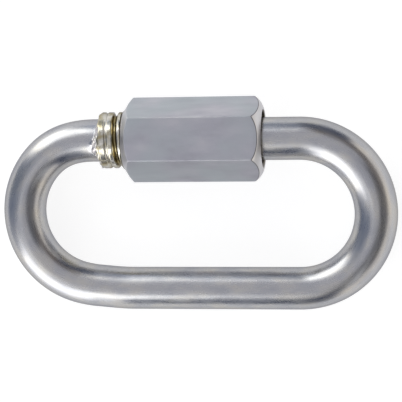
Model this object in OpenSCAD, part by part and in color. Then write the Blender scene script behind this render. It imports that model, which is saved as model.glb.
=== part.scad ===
// Chain quick link: a round steel rod bent into an oblong loop whose two free ends are
// threaded and face each other across a gap, and a long hexagonal sleeve nut that
// screws over both ends and closes the loop.
// Lengths are in millimetres. X runs along the loop, from the short threaded end to the
// long one. The link lies as it comes to rest, on a flat of the nut and on its plain bar,
// so the loop's plane leans a few degrees about X. The origin is at floor level, under
// the middle of the link.

/* [Loop] */
// Diameter of the round rod
rod_d = 6; // [5:0.1:7]
// Overall length of the loop, outside to outside
link_len = 56; // [50:0.5:70]
// Distance between the centre lines of the two long sides
bar_spacing = 21.2; // [19:0.1:24]

/* [Threaded ends] */
// Outside diameter of the thread, which stands proud of the rod
thread_d = 8; // [7.6:0.1:8.3]
// Length of plain rod between the bow and the short end's taper
short_shank_len = 0.3; // [0.1:0.1:1.5]
// Length of the full thread on the short end
short_thread_len = 4.6; // [3:0.1:6]
// Length of the full thread on the long end
long_thread_len = 8; // [6:0.1:10]
// Length of the taper from the rod up to the thread
runout_len = 0.7; // [0.6:0.1:2]
// Chamfer at the tip of each end, measured along and across the rod
tip_chamfer = 0.7; // [0.3:0.1:1]
// Gap between the two free ends, which the rod of another link passes
gate_gap = 6.2; // [5:0.1:7]

/* [Sleeve nut] */
// Distance across the flats of the hexagon
nut_af = 10.4; // [10.2:0.1:11.5]
// Overall length of the nut
nut_len = 19.7; // [18:0.1:22]
// From the start of the short end's taper to the nut's near face
nut_setback = 3.9; // [3:0.1:5]
// Running clearance on the radius between the nut's bore and the thread
bore_clearance = 0.05; // [0.03:0.01:0.1]
// Width of the thin rim between the bore and the turned ends
rim_w = 0.2; // [0.1:0.01:0.3]
// Length of the plain collar on the end that has the cone
collar_len = 0.2; // [0.1:0.05:0.6]
// Slope of the cone, from the end face
cone_angle = 33; // [20:1:45]
// Radius of the rounding on the other end
crown_r = 2.8; // [2.4:0.1:3.4]
// How far the turning tool's path stands outside the hexagon's corners
turning_margin = 0.2; // [0.1:0.05:0.5]

/* [Hidden] */
$fn = 96;

HEX_SIDES = 6;
rod_r = rod_d / 2;
thread_r = thread_d / 2;
nut_half_af = nut_af / 2;
nut_corner_r = nut_half_af / cos(180 / HEX_SIDES);

// The loop in its own plane
bow_r = bar_spacing / 2;
straight_half = link_len / 2 - bow_r - rod_r;
short_end_len = short_shank_len + runout_len + short_thread_len;
long_end_len = 2 * straight_half - short_end_len - gate_gap;
long_shank_len = long_end_len - runout_len - long_thread_len;

// How the loop lies: the nut's flat and the plain bar both touch the floor
lean = asin((nut_half_af - rod_r) / bar_spacing);
nut_to_bar = bar_spacing * cos(lean);
loop_z = (nut_half_af + rod_r) / 2;
nut_y = (nut_to_bar + rod_r - nut_corner_r) / 2;
loop_y = nut_y - nut_to_bar / 2;

// The nut along its own axis
nut_x = short_shank_len + nut_setback - straight_half;
bore_r = thread_r + bore_clearance;
rim_r = bore_r + rim_w;
turned_r = nut_corner_r + turning_margin;
cone_len = (turned_r - rim_r) * tan(cone_angle);
// The rounding's centre, from the axis and from the near end: it clears the corners and
// meets the rim on the far end
crown_mid_r = turned_r + turning_margin - crown_r;
crown_at = nut_len - sqrt(pow(crown_r, 2) - pow(rim_r - crown_mid_r, 2));
// How far a cutting solid runs past the face that it cuts
overrun = nut_len / 2;

module along_x() {
    rotate([0, 90, 0])
        children();
}

// Half a turn of rod about the origin, on the side of positive X
module bow() {
    rotate([0, 0, -90])
        rotate_extrude(angle = 180)
            translate([bow_r, 0])
                circle(r = rod_r);
}

// One free end, from the bow at X zero: plain shank, taper, thread at its outside
// diameter, and the chamfered tip
module free_end(shank_len, full_len) {
    thread_from = shank_len + runout_len;
    tip = thread_from + full_len;
    along_x()
        rotate_extrude()
            polygon([
                [0, 0],
                [rod_r, 0],
                [rod_r, shank_len],
                [thread_r, thread_from],
                [thread_r, tip - tip_chamfer],
                [thread_r - tip_chamfer, tip],
                [0, tip]
            ]);
}

module loop() {
    // The plain bar
    translate([0, -bow_r, 0])
        along_x()
            cylinder(h = 2 * straight_half, r = rod_r, center = true);
    // The two bows
    translate([straight_half, 0, 0])
        bow();
    translate([-straight_half, 0, 0])
        mirror([1, 0, 0])
            bow();
    // The open side
    translate([-straight_half, bow_r, 0])
        free_end(short_shank_len, short_thread_len);
    translate([straight_half, bow_r, 0])
        mirror([1, 0, 0])
            free_end(long_shank_len, long_thread_len);
}

module link_rod() {
    color([0.64, 0.65, 0.68])
        translate([0, loop_y, loop_z])
            rotate([lean, 0, 0])
                loop();
}

// The shape that turning leaves: collar and cone at one end, a rounding at the other
module turned_envelope() {
    rotate_extrude()
        intersection() {
            polygon([
                [0, 0],
                [rim_r, 0],
                [rim_r, collar_len],
                [turned_r, collar_len + cone_len],
                [turned_r, nut_len],
                [0, nut_len]
            ]);
            union() {
                square([turned_r, crown_at]);
                translate([crown_mid_r, crown_at])
                    circle(r = crown_r);
            }
        }
}

module sleeve_nut() {
    color([0.60, 0.60, 0.65])
        translate([nut_x, nut_y, nut_half_af])
            along_x()
                difference() {
                    intersection() {
                        rotate([0, 0, 180 / HEX_SIDES])
                            cylinder(h = nut_len, r = nut_corner_r, $fn = HEX_SIDES);
                        turned_envelope();
                    }
                    translate([0, 0, -overrun])
                        cylinder(h = nut_len + 2 * overrun, r = bore_r);
                }
}

link_rod();
sleeve_nut();
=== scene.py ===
"""The looks of a chain quick link: a bent steel rod with threaded ends, and its sleeve nut."""
import math

import bpy
import numpy as np
from mathutils import Matrix, Vector


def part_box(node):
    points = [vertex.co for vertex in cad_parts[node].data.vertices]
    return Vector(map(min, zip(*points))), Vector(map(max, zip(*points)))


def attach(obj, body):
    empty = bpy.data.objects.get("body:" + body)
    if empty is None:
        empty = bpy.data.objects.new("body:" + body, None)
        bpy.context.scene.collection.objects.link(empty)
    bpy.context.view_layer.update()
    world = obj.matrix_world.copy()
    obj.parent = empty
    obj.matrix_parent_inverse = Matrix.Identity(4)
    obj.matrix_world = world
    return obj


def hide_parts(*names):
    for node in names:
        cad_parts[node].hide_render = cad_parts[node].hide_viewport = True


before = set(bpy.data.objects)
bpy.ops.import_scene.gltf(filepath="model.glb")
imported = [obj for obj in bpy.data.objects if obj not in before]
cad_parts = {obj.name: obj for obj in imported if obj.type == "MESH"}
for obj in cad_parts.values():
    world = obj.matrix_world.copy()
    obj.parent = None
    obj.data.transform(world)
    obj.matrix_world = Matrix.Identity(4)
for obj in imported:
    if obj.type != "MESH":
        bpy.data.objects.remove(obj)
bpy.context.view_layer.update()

# Sizes in millimetres: the rod, its two threaded ends and the gap between their tips
MM = 0.001
ROD_R = 3.0
THREAD_R = 4.0
SHORT_SHANK = 0.3
RUNOUT = 0.7
SHORT_THREAD = 4.6
LONG_THREAD = 8.0
GATE_GAP = 6.2
TIP_CHAMFER = 0.7
# The nut: its bore and collar, the cone behind the collar, and the rounding of the right end, a
# part of a circle that would reach CROWN_REACH from the axis
BORE_R = 4.05
RIM_R = 4.25
COLLAR_LEN = 0.2
CONE_SLOPE = math.tan(math.radians(33))
CROWN_R = 2.8
CROWN_REACH = 6.4
# How far the bore is plain at its left end, so that it clears the torn shoulder, and the slope
# at which the bore's mouths narrow to its thread
BORE_RELIEF = 1.2
MOUTH_SLOPE = 1.1

# The thread, right-hand: its pitch, depth, floor and flanks, where a crest crosses the outer
# side, and the nut's play on it
PITCH = 1.25
THREAD_DEPTH = 0.55
ROOT_FLAT = 0.24
FLANK = math.tan(math.radians(60))
CREST_X = -11.93
PLAY = 0.1
# How much of its depth the short end's thread starts with, how far in it starts to deepen, and
# over what length
FIRST_DEPTH = 0.3
DEEPENS_AT = 1.35
DEEPENS_OVER = 0.6
# The short end's shoulder. The die tore it into a ramp on one side: where round the rod that is
# and how wide, in radians from the outer side, the lengths of shoulder and ramp, and its roughness
TORN_AT = 1.8
TORN_WIDTH = 0.6
SHOULDER_LEN = 0.35
TORN_LEN = 0.95
TORN_ROUGH = 0.6
# Waves round the rod that make the shoulder's top and foot ragged: height, number and phase
TOP_WAVES = ((0.10, 5, 1), (0.08, 11, 0), (0.05, 23, 0))
FOOT_WAVES = ((0.06, 11, 0),)

# The left bow's error of shape: how high it sits, where on the bar that starts, and its length
BOW_LIFT = 0.45
BOW_LIFT_START = 4.9
BOW_LIFT_LEN = 7.3

# How far corners are rounded over: tips and mouths, crests, the torn shoulder, the nut's thread
SOFT_TIP = 0.08
SOFT_CREST = 0.09
SOFT_SHOULDER = 0.14
SOFT_BORE = 0.07

# Values of the rod's attribute "tint", which is 0 on plain rod
# The shoulder's value makes it near white: a painted glint
SHOULDER_GLINT_TINT = 0.3
CREST_TINT = 0.6
# The groove's value: its yellow tint, darkened further by painted shade
GROOVE_TINT_AND_SHADE = 1.0

# Values of the nut's attribute for finish and shade: up to 1 it says how much a surface looks
# cut on the lathe, and 2 is painted shade, dark in the bore and on the collar's rim
FLAT = 0.0
LEFT_EDGE = 0.5
CONE = 0.55
RIGHT_EDGE = 0.6
TURNED = 1.0
PAINTED_SHADE = 2.0
# Half width of the band along the nut's corners that is painted bright, as highlight and wear,
# in radians round the axis
GLINT_AND_WEAR_WIDTH = 0.02

# The camera as fitted to the photograph: its turns in degrees, the point that it looks at, from
# the loop's middle in Y, how far off it is, and its focal length in pixels of the square frame
CAMERA_YAW = -7.93
CAMERA_PITCH = 1.87
CAMERA_ROLL = 0.56
AIM_X = 0.56
AIM_Y = 1.88
AIM_Z = 5.0
CAMERA_DISTANCE = 207.2
FOCAL_PX = 1475
FRAME_PX = 402
SENSOR_WIDTH = 36.0

# Places, from the frame
rod_lo, rod_hi = (np.array(c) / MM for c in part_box("link_rod"))
nut_lo, nut_hi = (np.array(c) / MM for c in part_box("sleeve_nut"))
nut_y, nut_z = (nut_lo[1] + nut_hi[1]) / 2, (nut_lo[2] + nut_hi[2]) / 2
bar_y, bar_z = rod_lo[1] + ROD_R, rod_lo[2] + ROD_R
HALF_AF = nut_hi[2] - nut_z
BOW_R = math.hypot(nut_y - bar_y, nut_z - bar_z) / 2
LEAN = math.atan2(nut_z - bar_z, nut_y - bar_y)
LOOP_MID = np.array([(rod_lo[0] + rod_hi[0]) / 2, (nut_y + bar_y) / 2, (nut_z + bar_z) / 2])
STRAIGHT = (rod_hi[0] - rod_lo[0]) / 2 - ROD_R - BOW_R
SHORT_THREAD_X = SHORT_SHANK + RUNOUT - STRAIGHT
SHORT_TIP_X = SHORT_THREAD_X + SHORT_THREAD
LONG_TIP_X = SHORT_TIP_X + GATE_GAP
LONG_THREAD_X = LONG_TIP_X + LONG_THREAD


# Shape helpers

def smooth_min(a, b, k):
    """The lesser of a and b, with the corner between them rounded over about k."""
    h = np.clip(0.5 + 0.5 * (b - a) / k, 0, 1)
    return b + (a - b) * h - k * h * (1 - h)


def smooth_max(a, b, k):
    """The greater of a and b, rounded over in the same way."""
    return -smooth_min(-a, -b, k)


def smooth_step(t):
    """0 below 0, 1 above 1, and a soft step between."""
    t = np.clip(t, 0, 1)
    return t * t * (3 - 2 * t)


def waves(angle, rows):
    """The sum of sine waves round the rod, each of a height, a number and a phase."""
    return sum(height * np.sin(number * angle + phase) for height, number, phase in rows)


def thread_groove(x, angle):
    """How far the groove's 60 degree V stands above its floor, round X and along it."""
    turns = (x - CREST_X) / PITCH - angle / (2 * math.pi)
    from_crest = np.abs(turns - np.round(turns)) * PITCH
    return np.maximum(PITCH / 2 - from_crest - ROOT_FLAT / 2, 0) * FLANK


def tube(name, rings, closed, values):
    """A mesh through rings of points, capped or closed on itself, with values on its points."""
    rows, cols = rings.shape[:2]
    verts = [tuple(p * MM) for p in rings.reshape(-1, 3)]
    faces = []
    for i in range(rows if closed else rows - 1):
        a, b = i * cols, ((i + 1) % rows) * cols
        for j in range(cols):
            k = (j + 1) % cols
            faces.append((a + j, a + k, b + k, b + j))
    around = np.tile([0, 1, 1, 0], len(faces))
    column = np.tile(np.repeat(np.arange(cols), 4), len(faces) // cols)
    row = np.repeat(np.arange(len(faces) // cols), cols * 4) + np.tile([0, 0, 1, 1], len(faces))
    uv = np.stack([(column + around) / cols, row / rows], 1)
    if not closed:
        for ring, first in ((0, 0), (rows - 1, (rows - 1) * cols)):
            centre = len(verts)
            verts.append(tuple(rings[ring].mean(0) * MM))
            for j in range(cols):
                k = (j + 1) % cols
                pair = (first + k, first + j) if ring == 0 else (first + j, first + k)
                faces.append((*pair, centre))
        uv = np.concatenate([uv, np.zeros((2 * cols * 3, 2))])
        values = {
            key: np.concatenate([v.reshape(rows * cols, -1), v[[0, -1], 0].reshape(2, -1)])
            for key, v in values.items()
        }
    mesh = bpy.data.meshes.new(name)
    mesh.from_pydata(verts, [], faces)
    mesh.polygons.foreach_set("use_smooth", [True] * len(faces))
    mesh.uv_layers.new(name="round").data.foreach_set("uv", uv.ravel())
    for key, value in values.items():
        value = value.reshape(len(verts), -1)
        kind, field = ("FLOAT", "value") if value.shape[1] == 1 else ("FLOAT_VECTOR", "vector")
        mesh.attributes.new(key, kind, "POINT").data.foreach_set(field, value.ravel())
    mesh.update()
    obj = bpy.data.objects.new(name, mesh)
    bpy.context.scene.collection.objects.link(obj)
    return obj


# The link

def bend_error(x, y):
    """How far the left bow was bent off square: its whole arc sits a little high."""
    start = np.where(y > 0, -STRAIGHT, BOW_LIFT_START - STRAIGHT)
    return BOW_LIFT * smooth_step((start - x) / BOW_LIFT_LEN)


def rod_stations():
    """Points of the centre line in the loop's own plane, each with its outward direction."""
    bow_steps, bar_points, fine, coarse = 96, 49, 0.05, 0.4

    def side(xs, sign):
        return [(x, sign * BOW_R, 0.0, sign) for x in xs]

    def bow(centre_x, start):
        turn = start + np.arange(1, bow_steps) * math.pi / bow_steps
        return [
            (centre_x + BOW_R * math.cos(a), BOW_R * math.sin(a), math.cos(a), math.sin(a))
            for a in turn
        ]

    short_end = np.append(np.arange(SHORT_TIP_X, -STRAIGHT, -fine), -STRAIGHT)
    long_end = np.append(np.arange(LONG_THREAD_X + RUNOUT, LONG_TIP_X, -fine), LONG_TIP_X)
    stations = side(short_end, 1.0) + bow(-STRAIGHT, math.pi / 2)
    stations += side(np.linspace(-STRAIGHT, STRAIGHT, bar_points), -1.0)
    stations += bow(STRAIGHT, -math.pi / 2)
    stations += side(np.arange(STRAIGHT, LONG_THREAD_X + RUNOUT, -coarse), 1.0)
    stations += side(long_end, 1.0)
    return np.array(stations)


def short_end(x, angle):
    """Radius and tint of the short end: a torn shoulder, then a thread that deepens inwards."""
    torn = np.exp(-(((angle - TORN_AT) / TORN_WIDTH) ** 2))
    top = SHORT_THREAD_X + 0.1 + waves(angle, TOP_WAVES)
    foot = top - SHOULDER_LEN - TORN_LEN * torn - waves(angle, FOOT_WAVES)
    rise = smooth_step((x - foot) / (top - foot))
    deeper = smooth_step((x - SHORT_THREAD_X - DEEPENS_AT) / DEEPENS_OVER)
    depth = THREAD_DEPTH * (FIRST_DEPTH + (1 - FIRST_DEPTH) * deeper)
    groove = THREAD_R - depth + thread_groove(x, angle)
    # Here the thread stays 0.03 mm inside its full radius, and the ramp is rough half-way up
    r = smooth_min(groove, ROD_R + (THREAD_R - 0.03 - ROD_R) * rise, SOFT_SHOULDER)
    jag = waves(angle, ((1.0, 19, 7 * x), (0.7, 31, -13 * x)))
    r = r + TORN_ROUGH * torn * jag * rise * (1 - rise)
    r = smooth_min(r, THREAD_R - TIP_CHAMFER + SHORT_TIP_X - x, SOFT_TIP)
    return r, thread_tint(r, rise)


def long_end(x, angle):
    """Radius and tint of the long end: an even shoulder and a full thread."""
    rise = smooth_step((LONG_THREAD_X + RUNOUT - x) / RUNOUT)
    groove = THREAD_R - THREAD_DEPTH + thread_groove(x, angle)
    r = smooth_min(groove, ROD_R + (THREAD_R - ROD_R) * rise, SOFT_CREST)
    r = smooth_min(r, THREAD_R - TIP_CHAMFER + x - LONG_TIP_X, SOFT_TIP)
    return r, thread_tint(r, rise)


def thread_tint(r, rise):
    """Tint: the shoulder's painted glint, a crest at its top, or a groove's yellow and painted
    shade.
    """
    in_groove = smooth_step((THREAD_R - 0.12 - r) / (0.6 * THREAD_DEPTH))
    cut = in_groove * smooth_step((rise - 0.9) / 0.1)
    to_crest = (CREST_TINT - SHOULDER_GLINT_TINT) * smooth_step((rise - 0.85) / 0.15)
    return SHOULDER_GLINT_TINT * smooth_step(rise * 6) + to_crest + (GROOVE_TINT_AND_SHADE - CREST_TINT) * cut


def make_rod(segments=128):
    """The rod, with each point's place on the straightened rod and its tint."""
    theta = np.arange(segments) * 2 * math.pi / segments
    lean = np.array(Matrix.Rotation(LEAN, 3, "X"))
    stations = rod_stations()
    along = np.concatenate([[0], np.cumsum(np.hypot(*np.diff(stations[:, :2], axis=0).T))])
    rings, straight, tint = [], [], []
    for (x, y, nx, ny), s in zip(stations, along):
        r, on_thread = np.full(segments, ROD_R), np.zeros(segments)
        if y == BOW_R and ny == 1.0:
            shape = short_end if x < (SHORT_TIP_X + LONG_TIP_X) / 2 else long_end
            r, on_thread = shape(x, theta + LEAN)
        out = np.cos(theta) * r
        ring = np.stack([x + out * nx, y + bend_error(x, y) + out * ny, np.sin(theta) * r], 1)
        rings.append(ring @ lean.T + LOOP_MID)
        unbent = [np.full(segments, s), np.cos(theta) * r, np.sin(theta) * r]
        straight.append(np.stack(unbent, 1))
        tint.append(on_thread)
    values = {"straight": np.array(straight), "tint": np.array(tint)[..., None]}
    return tube("rod", np.array(rings), False, values)


# The nut

def hexagon_radius(angle, fillet):
    """Outline of the hexagon with rounded corners; its flats face up and down."""
    sector = math.pi / 3
    from_corner = angle - np.round(angle / sector) * sector
    flat = HALF_AF / np.cos(sector / 2 - np.abs(from_corner))
    centre = (HALF_AF - fillet) / math.cos(sector / 2)
    inside = np.maximum(fillet**2 - (centre * np.sin(from_corner)) ** 2, 0)
    corner = centre * np.cos(from_corner) + np.sqrt(inside)
    return np.where(np.abs(from_corner) > math.atan2(fillet * 0.5, HALF_AF), flat, corner)


def nut_angles():
    """Angles round the nut, close together at the hexagon's corners, from shares of one side."""
    half = np.array([0, 0.006, 0.012, 0.018, 0.026, 0.04, 0.07, 0.12, 0.19, 0.28, 0.39, 0.5])
    share = np.concatenate([half, 1 - half[-2:0:-1]])
    return np.concatenate([(k + share) * math.pi / 3 for k in range(6)])


def make_nut(fillet=0.2):
    """The nut, as rows of points from its left rim over the outside and back through the bore."""
    angle = nut_angles()
    hexa = hexagon_radius(angle, fillet)
    x0, x1 = nut_lo[0], nut_hi[0]
    cone_x, crown_mid_r = x0 + COLLAR_LEN, CROWN_REACH - CROWN_R
    crown_x = x1 - math.sqrt(CROWN_R**2 - (RIM_R - crown_mid_r) ** 2)
    left = cone_x + (hexa - RIM_R) * CONE_SLOPE
    right = crown_x + np.sqrt(CROWN_R**2 - (hexa - crown_mid_r) ** 2)
    rim, soft, bore_step = 0.15, 0.1, 0.08
    rows, turned = [], []

    def add(x, r, look=TURNED):
        rows.append((np.broadcast_to(x, angle.shape), np.broadcast_to(r, angle.shape)))
        turned.append(look)

    # The left end: rim, collar and cone, with the rim painted dark as shade
    add(x0, RIM_R - rim, PAINTED_SHADE)
    add(x0 + rim * 0.6, RIM_R - rim * 0.5, PAINTED_SHADE)
    add(x0 + rim, RIM_R - rim * 0.1, PAINTED_SHADE)
    add(cone_x, RIM_R, CONE)
    for t in np.linspace(0.1, 1, 8):
        x = cone_x + (left - soft - cone_x) * t
        add(x, RIM_R + (x - cone_x) / CONE_SLOPE, CONE)
    add(left - soft * 0.35, hexa - soft * 0.45, CONE)
    add(left + soft * 0.2, hexa - soft * 0.12, LEFT_EDGE)
    # The six flats
    for t in np.linspace(0, 1, 26):
        add(left + soft + (right - left - 2 * soft) * t, hexa, FLAT)
    # The right end, rounded
    add(right - soft * 0.2, hexa - soft * 0.1, RIGHT_EDGE)
    outer = np.arcsin((hexa - crown_mid_r) / CROWN_R)
    inner = math.asin((RIM_R - crown_mid_r) / CROWN_R)
    for t in np.linspace(0.05, 1.0, 14):
        slope = outer + (inner - outer) * t
        add(crown_x + CROWN_R * np.cos(slope), crown_mid_r + CROWN_R * np.sin(slope))
    add(x1 - 0.02, RIM_R - 0.06)
    # The bore, painted dark as shade: a mouth at each end and the thread between
    for x in np.arange(x1 - 0.1, x0 + 0.09, -bore_step):
        ridge = BORE_R - THREAD_DEPTH + thread_groove(x, angle) + PLAY
        ridge = smooth_min(ridge, np.full_like(ridge, BORE_R), SOFT_BORE)
        mouth = RIM_R - 0.2 - MOUTH_SLOPE * max(min(x1 - x, x - x0 - BORE_RELIEF), 0)
        add(x, smooth_max(ridge, mouth, SOFT_TIP), PAINTED_SHADE)
    add(x0 + 0.05, RIM_R - rim * 1.3, PAINTED_SHADE)

    rings = np.array([
        np.stack([x, nut_y + r * np.cos(angle), nut_z + r * np.sin(angle)], 1) for x, r in rows
    ])
    # Where the edges are painted: 1 is a painted highlight, rubbed bright and patchy like wear, and
    # -1 is a painted shade line where the flats meet the rounded end. The left edge is painted
    # bright all round, and three times as widely at the corners.
    from_corner = ((angle + math.pi / 6) % (math.pi / 3)) - math.pi / 6
    corner = np.exp(-(np.abs(from_corner) / GLINT_AND_WEAR_WIDTH) ** 2)
    is_flat = np.array([1.0 if t == FLAT else 0.0 for t in turned])
    edge = is_flat[:, None] * corner[None, :]
    edge[[i for i, t in enumerate(turned) if t == LEFT_EDGE]] = 0.15 + 0.85 * corner**0.1
    edge[[i for i, t in enumerate(turned) if t == RIGHT_EDGE]] = -1.0
    values = {
        "turned": np.repeat(np.array(turned)[:, None], len(angle), 1)[..., None],
        "edge": edge[..., None],
    }
    return tube("nut", rings, True, values)


# Material helpers

def new_material(name):
    """A material with an empty node tree."""
    material = bpy.data.materials.new(name)
    material.use_nodes = True
    tree = material.node_tree
    tree.nodes.clear()
    return material, tree.nodes, tree.links


def node(nodes, kind, **settings):
    """A new node with these settings."""
    made = nodes.new(kind)
    for key, value in settings.items():
        setattr(made, key, value)
    return made


def math_node(nodes, links, operation, *inputs):
    """The result of an operation on numbers and sockets."""
    made = node(nodes, "ShaderNodeMath", operation=operation)
    for socket, value in zip(made.inputs, inputs):
        if isinstance(value, (int, float)):
            socket.default_value = value
        else:
            links.new(value, socket)
    return made.outputs[0]


def noise(nodes, links, coords, scale, detail, stretch=(1, 1, 1), shift=(0, 0, 0)):
    """Noise over coordinates that are first stretched along each axis and shifted."""
    mapping = node(nodes, "ShaderNodeMapping")
    mapping.inputs["Scale"].default_value = stretch
    mapping.inputs["Location"].default_value = shift
    links.new(coords, mapping.inputs["Vector"])
    made = node(nodes, "ShaderNodeTexNoise")
    made.inputs["Scale"].default_value = scale
    made.inputs["Detail"].default_value = detail
    links.new(mapping.outputs["Vector"], made.inputs["Vector"])
    return made.outputs["Fac"]


def ramp(nodes, links, value, stops):
    """A colour that follows the value through these stops."""
    made = node(nodes, "ShaderNodeValToRGB")
    elements = made.color_ramp.elements
    while len(elements) < len(stops):
        elements.new(0.5)
    for element, (at, colour) in zip(elements, stops):
        element.position = at
        element.color = (*colour, 1)
    links.new(value, made.inputs["Fac"])
    return made.outputs["Color"]


def span(nodes, links, value, low, high, start=0.0, end=1.0, kind="LINEAR"):
    """The value, moved from start..end to low..high."""
    made = node(nodes, "ShaderNodeMapRange", interpolation_type=kind)
    ends = {"From Min": start, "From Max": end, "To Min": low, "To Max": high}
    for name, number in ends.items():
        made.inputs[name].default_value = number
    links.new(value, made.inputs["Value"])
    return made.outputs["Result"]


def mix(nodes, links, factor, a, b):
    """Colour a turning to colour b as the factor goes from 0 to 1."""
    made = node(nodes, "ShaderNodeMix", data_type="RGBA")
    links.new(factor, made.inputs["Factor"])
    for socket, colour in (("A", a), ("B", b)):
        target = next(s for s in made.inputs if s.name == socket and s.type == "RGBA")
        if isinstance(colour, tuple):
            target.default_value = (*colour, 1)
        else:
            links.new(colour, target)
    return next(s for s in made.outputs if s.type == "RGBA")


def bump(nodes, links, height, distance, below=None):
    """A normal bent by a height of this many millimetres, on top of the normal below."""
    made = node(nodes, "ShaderNodeBump")
    made.inputs["Distance"].default_value = distance * MM
    links.new(height, made.inputs["Height"])
    if below is not None:
        links.new(below, made.inputs["Normal"])
    return made.outputs["Normal"]


# Materials

def rod_material():
    """Bright zinc over drawn rod: fine lines along it, a wandering gloss and a yellow thread."""
    material, nodes, links = new_material("rod_zinc")
    straight = node(nodes, "ShaderNodeAttribute", attribute_name="straight").outputs["Vector"]
    tint = node(nodes, "ShaderNodeAttribute", attribute_name="tint").outputs["Fac"]
    shader = node(nodes, "ShaderNodeBsdfPrincipled")
    shader.inputs["Metallic"].default_value = 1.0
    shader.inputs["Anisotropic"].default_value = 0.45
    shader.inputs["Specular Tint"].default_value = (0.50, 0.50, 0.52, 1)
    tangent = node(nodes, "ShaderNodeTangent", direction_type="UV_MAP", uv_map="round")
    links.new(tangent.outputs["Tangent"], shader.inputs["Tangent"])

    # Noise here runs per millimetre of the straightened rod
    cloud = noise(nodes, links, straight, 0.55, 5, (0.5, 1, 1))
    zinc = ramp(nodes, links, cloud, [
        (0.36, (0.405, 0.41, 0.435)),
        (0.50, (0.45, 0.45, 0.462)),
        (0.64, (0.495, 0.483, 0.467)),
    ])
    speck = noise(nodes, links, straight, 1.6, 3, (0.15, 1, 1))
    stain = span(nodes, links, noise(nodes, links, straight, 0.8, 4), -0.05, 0.22, 0.4, 0.65)
    thread_colour_glint_and_shade = ramp(nodes, links, math_node(nodes, links, "ADD", tint, stain), [
        # The torn shoulder, near white: a painted glint
        (SHOULDER_GLINT_TINT, (0.95, 0.91, 0.90)),
        (CREST_TINT, (0.56, 0.545, 0.49)),
        ((CREST_TINT + GROOVE_TINT_AND_SHADE) / 2, (0.40, 0.355, 0.235)),
        # The groove: its yellow tint, darkened further as painted shade
        (GROOVE_TINT_AND_SHADE, (0.22, 0.18, 0.09)),
    ])
    on_thread = span(nodes, links, tint, 0.0, 1.0, 0.05, 0.25)
    links.new(mix(nodes, links, on_thread, zinc, thread_colour_glint_and_shade), shader.inputs["Base Color"])
    gloss = span(nodes, links, speck, 0.22, 0.32, 0.3, 0.7)
    # A crest is glossier than the rod, and the torn shoulder is duller
    crest = span(nodes, links, tint, 0.0, 0.10, SHOULDER_GLINT_TINT, CREST_TINT)
    gloss = math_node(nodes, links, "SUBTRACT", gloss, crest)
    torn = span(nodes, links, tint, 0.22, 0.0, 0.35, 0.55)
    torn = math_node(nodes, links, "MULTIPLY", on_thread, torn)
    gloss = math_node(nodes, links, "ADD", gloss, torn)
    links.new(gloss, shader.inputs["Roughness"])

    uneven = noise(nodes, links, straight, 0.7, 2, (0.35, 1, 1))
    lines = noise(nodes, links, straight, 5.0, 3, (0.05, 1, 1))
    pits = noise(nodes, links, straight, 3.0, 3)
    normal = bump(nodes, links, uneven, 0.02)
    normal = bump(nodes, links, lines, 0.002, normal)
    normal = bump(nodes, links, pits, 0.001, normal)
    links.new(normal, shader.inputs["Normal"])
    out = node(nodes, "ShaderNodeOutputMaterial")
    links.new(shader.outputs["BSDF"], out.inputs["Surface"])
    return material


def nut_material():
    """Satin zinc: mottled drawn flats, paler smoother lathe-cut ends, worn edges, painted light and
    shade.
    """
    material, nodes, links = new_material("nut_zinc")
    coords = node(nodes, "ShaderNodeTexCoord").outputs["Object"]
    turned = node(nodes, "ShaderNodeAttribute", attribute_name="turned").outputs["Fac"]
    edge = node(nodes, "ShaderNodeAttribute", attribute_name="edge").outputs["Fac"]
    shader = node(nodes, "ShaderNodeBsdfPrincipled")
    shader.inputs["Metallic"].default_value = 1.0
    shader.inputs["Specular Tint"].default_value = (0.90, 0.90, 0.93, 1)

    # Noise here runs per metre
    cloud = noise(nodes, links, coords, 380, 5, (0.5, 1, 1))
    zinc = ramp(nodes, links, cloud, [
        (0.33, (0.395, 0.392, 0.434)),
        (0.50, (0.445, 0.443, 0.487)),
        (0.67, (0.495, 0.49, 0.526)),
    ])
    blotch = noise(nodes, links, coords, 120, 3, shift=(0.045, 0.006, 0.031))
    patch = span(nodes, links, blotch, 0.0, 1.0, 0.45, 0.62)
    zinc = mix(nodes, links, patch, zinc, (0.435, 0.462, 0.49))
    # Surfaces cut on the lathe are paler, which also paints in the brightness of their reflections
    zinc = mix(nodes, links, turned, zinc, (0.62, 0.612, 0.62))
    # Painted highlights along the edges, patchy like wear
    patchy = span(nodes, links, cloud, 0.0, 1.0, 0.42, 0.66)
    painted_glint_and_wear = math_node(nodes, links, "MULTIPLY", edge, patchy)
    base = mix(nodes, links, painted_glint_and_wear, zinc, (0.53, 0.53, 0.55))
    # A painted shade line where the flats meet the rounded end
    painted_shade_line = span(nodes, links, edge, 0.0, 1.0, 0.0, -0.6)
    base = mix(nodes, links, painted_shade_line, base, (0.16, 0.16, 0.17))
    # Painted shade: the bore and the collar's rim darkened to a brownish black
    bore_shade = span(nodes, links, turned, 0.0, 1.0, TURNED + 0.1, PAINTED_SHADE - 0.1)
    base = mix(nodes, links, bore_shade, base, (0.13, 0.115, 0.085))
    links.new(base, shader.inputs["Base Color"])
    gloss = noise(nodes, links, coords, 900, 3, (0.3, 1, 1))
    satin = span(nodes, links, gloss, 0.40, 0.56, 0.3, 0.7)
    smoother = span(nodes, links, turned, 0.0, 0.04, FLAT, TURNED)
    satin = math_node(nodes, links, "SUBTRACT", satin, smoother)
    links.new(satin, shader.inputs["Roughness"])

    lines = noise(nodes, links, coords, 3000, 3, (0.08, 1, 1))
    pits = noise(nodes, links, coords, 2500, 4)
    normal = bump(nodes, links, lines, 0.006)
    normal = bump(nodes, links, pits, 0.008, normal)
    links.new(normal, shader.inputs["Normal"])
    out = node(nodes, "ShaderNodeOutputMaterial")
    links.new(shader.outputs["BSDF"], out.inputs["Surface"])
    return material


# Stage and light

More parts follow.
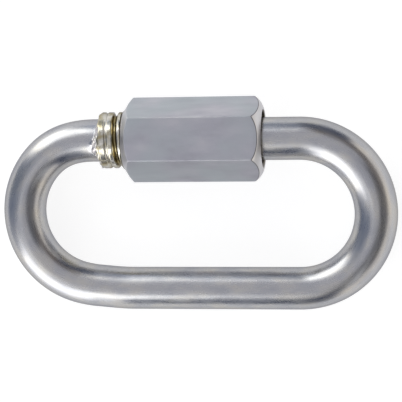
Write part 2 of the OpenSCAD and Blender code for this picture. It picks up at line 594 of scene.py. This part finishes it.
def floor_material():
    """White with the link's shadow to the camera and in reflections, and pale to other light."""
    material, nodes, links = new_material("floor_white")
    plain = node(nodes, "ShaderNodeBsdfDiffuse")
    plain.inputs["Color"].default_value = (0.85, 0.85, 0.85, 1)
    shade = node(nodes, "ShaderNodeBsdfDiffuse")
    shade.inputs["Color"].default_value = (0.30, 0.30, 0.30, 1)
    glow = node(nodes, "ShaderNodeEmission")
    glow.inputs["Strength"].default_value = 0.83
    both = node(nodes, "ShaderNodeAddShader")
    links.new(shade.outputs[0], both.inputs[0])
    links.new(glow.outputs[0], both.inputs[1])
    path = node(nodes, "ShaderNodeLightPath").outputs
    seen = math_node(nodes, links, "MAXIMUM", path["Is Camera Ray"], path["Is Glossy Ray"])
    seen = math_node(nodes, links, "MAXIMUM", seen, path["Is Transmission Ray"])
    chosen = node(nodes, "ShaderNodeMixShader")
    links.new(seen, chosen.inputs["Fac"])
    links.new(plain.outputs[0], chosen.inputs[1])
    links.new(both.outputs[0], chosen.inputs[2])
    out = node(nodes, "ShaderNodeOutputMaterial")
    links.new(chosen.outputs[0], out.inputs["Surface"])
    return material


def make_floor(half=3.0):
    """A square floor, its half width in metres."""
    mesh = bpy.data.meshes.new("floor")
    corners = [(-half, -half, 0), (half, -half, 0), (half, half, 0), (-half, half, 0)]
    mesh.from_pydata(corners, [], [(0, 1, 2, 3)])
    mesh.materials.append(floor_material())
    obj = bpy.data.objects.new("floor", mesh)
    bpy.context.scene.collection.objects.link(obj)


CEILING = (0.66, 0.66, 0.70)
# Panels and dark cards of the studio: azimuth, angle from straight up, half width, half height and
# softness of the edge, all in degrees, then the colour. A later one lies over those before it.
CARDS = [
    # The pale right-hand side, a dark arch between it and the ceiling, and a paler gap in that
    (0, 84, 70, 24, 10, (1.18, 1.11, 1.02)),
    (-30, 45, 52, 22, 8, (0.16, 0.16, 0.17)),
    (45, 53, 40, 13, 8, (0.18, 0.155, 0.145)),
    (-62, 52, 6, 16, 10, (0.85, 0.85, 0.85)),
    # A pale strip and a dark card behind, a dark card in front, and a slate-grey one to the left
    (100, 74, 6, 20, 5, (0.64, 0.70, 0.82)),
    (74, 74, 21, 16, 5, (0.08, 0.10, 0.16)),
    (-90, 73, 16, 18, 6, (0.04, 0.06, 0.12)),
    (180, 63, 22, 33, 12, (0.24, 0.28, 0.37)),
    # A soft box at each side of the grey card, a weaker top to the front one, and brighter edges
    (132, 66, 18, 22, 8, (3.0, 3.0, 2.9)),
    (-127, 66, 21, 22, 8, (3.0, 3.0, 3.0)),
    (-134, 34, 8, 14, 10, (1.40, 1.40, 1.40)),
    (109, 56, 5, 11, 4, (3.8, 3.8, 3.6)),
    (-109, 50, 6, 11, 5, (3.6, 3.6, 3.5)),
    # A thin light above the pale strip, and a weaker one above the dark card in front
    (99, 47, 7, 3, 2, (2.0, 2.0, 2.0)),
    (-94, 38, 12, 2.5, 4, (1.20, 1.20, 1.20)),
]


def make_world():
    """A soft studio: a pale ceiling, with cards round the link."""
    world = bpy.data.worlds.new("studio")
    bpy.context.scene.world = world
    world.use_nodes = True
    nodes, links = world.node_tree.nodes, world.node_tree.links
    nodes.clear()
    direction = node(nodes, "ShaderNodeTexCoord").outputs["Generated"]
    split = node(nodes, "ShaderNodeSeparateXYZ")
    links.new(direction, split.inputs[0])
    azimuth = math_node(nodes, links, "ARCTAN2", split.outputs["Y"], split.outputs["X"])
    polar = math_node(nodes, links, "ARCCOSINE", split.outputs["Z"])

    def within(offset, half, softness):
        near, far = (math.radians(half + side * softness / 2) for side in (-1, 1))
        return span(nodes, links, offset, 1.0, 0.0, near, far, "SMOOTHSTEP")

    colour = CEILING
    for at, down, half_w, half_h, softness, card in CARDS:
        turn = math_node(nodes, links, "SUBTRACT", azimuth, math.radians(at))
        turn = math_node(nodes, links, "WRAP", turn, math.pi, -math.pi)
        turn = math_node(nodes, links, "ABSOLUTE", turn)
        drop = math_node(nodes, links, "SUBTRACT", polar, math.radians(down))
        drop = math_node(nodes, links, "ABSOLUTE", drop)
        across, up = within(turn, half_w, softness), within(drop, half_h, softness)
        inside = math_node(nodes, links, "MULTIPLY", across, up)
        colour = mix(nodes, links, inside, colour, card)
    background = node(nodes, "ShaderNodeBackground")
    links.new(colour, background.inputs["Color"])
    out = node(nodes, "ShaderNodeOutputWorld")
    links.new(background.outputs[0], out.inputs["Surface"])


def make_camera():
    """Above the link and a little to its right, as the photograph was taken."""
    turn = Matrix.Rotation(math.radians(CAMERA_PITCH), 3, "X")
    turn = turn @ Matrix.Rotation(math.radians(CAMERA_YAW), 3, "Y")
    turn = turn @ Matrix.Rotation(math.radians(CAMERA_ROLL), 3, "Z")
    turn.transpose()
    aim = Vector((AIM_X, AIM_Y + LOOP_MID[1], AIM_Z))
    camera = bpy.data.cameras.new("camera")
    camera.sensor_width = SENSOR_WIDTH
    camera.lens = SENSOR_WIDTH * FOCAL_PX / FRAME_PX
    camera.clip_start = 0.01
    camera.clip_end = 10.0
    obj = bpy.data.objects.new("camera", camera)
    bpy.context.scene.collection.objects.link(obj)
    place = (aim + turn @ Vector((0, 0, CAMERA_DISTANCE))) * MM
    obj.matrix_world = Matrix.Translation(place) @ turn.to_4x4()
    bpy.context.scene.camera = obj


rod = make_rod()
rod.data.materials.append(rod_material())
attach(rod, "link")
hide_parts("link_rod")

nut = make_nut()
nut.data.materials.append(nut_material())
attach(nut, "nut")
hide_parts("sleeve_nut")

make_floor()
make_world()
make_camera()
bpy.context.scene.view_settings.view_transform = "Standard"
